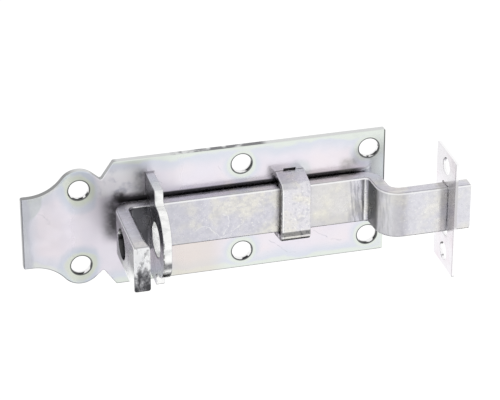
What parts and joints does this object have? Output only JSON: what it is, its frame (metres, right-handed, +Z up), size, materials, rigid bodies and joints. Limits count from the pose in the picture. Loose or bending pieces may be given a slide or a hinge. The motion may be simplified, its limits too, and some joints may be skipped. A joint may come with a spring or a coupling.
{
  "type": "slide bolt",
  "caption": "Padlockable slide bolt of zinc-plated steel: lobed base plate, padlock lug, guide staple, cranked flat bolt with a flat handle, and a slotted strike plate.",
  "frame": {"origin": "middle of the base plate's back face, on the axis of the bolt", "axes": "+X along the throw towards the strike plate, +Z up along the width of the plate, the plate's front looks towards -Y"},
  "size_m": [0.1433, 0.0338, 0.044],
  "materials": {
    "plate_zinc": "bright zinc-plated sheet, blue passivated, satin to glossy",
    "bar_zinc": "zinc-plated flat bar, satin, with handling scratches",
    "lug_zinc": "zinc-plated stamping with a torn cut edge",
    "staple_zinc": "zinc-plated band, fine-grained satin",
    "strike_zinc": "bright zinc-plated sheet, smooth"
  },
  "bodies": {
    "base": {"base_plate": "plate_zinc", "padlock_lug": "lug_zinc", "guide_staple": "staple_zinc"},
    "bolt": {"bolt": "bar_zinc"},
    "strike": {"strike_plate": "strike_zinc"}
  },
  "joints": [
    {"name": "bolt_slide", "type": "slide", "parent": "base", "child": "bolt", "axis": [1, 0, 0], "range_m": [-0.018, 0.005]},
    {"name": "strike_offer", "type": "slide", "parent": "base", "child": "strike", "axis": [1, 0, 0], "range_m": [0, 0.03]}
  ]
}
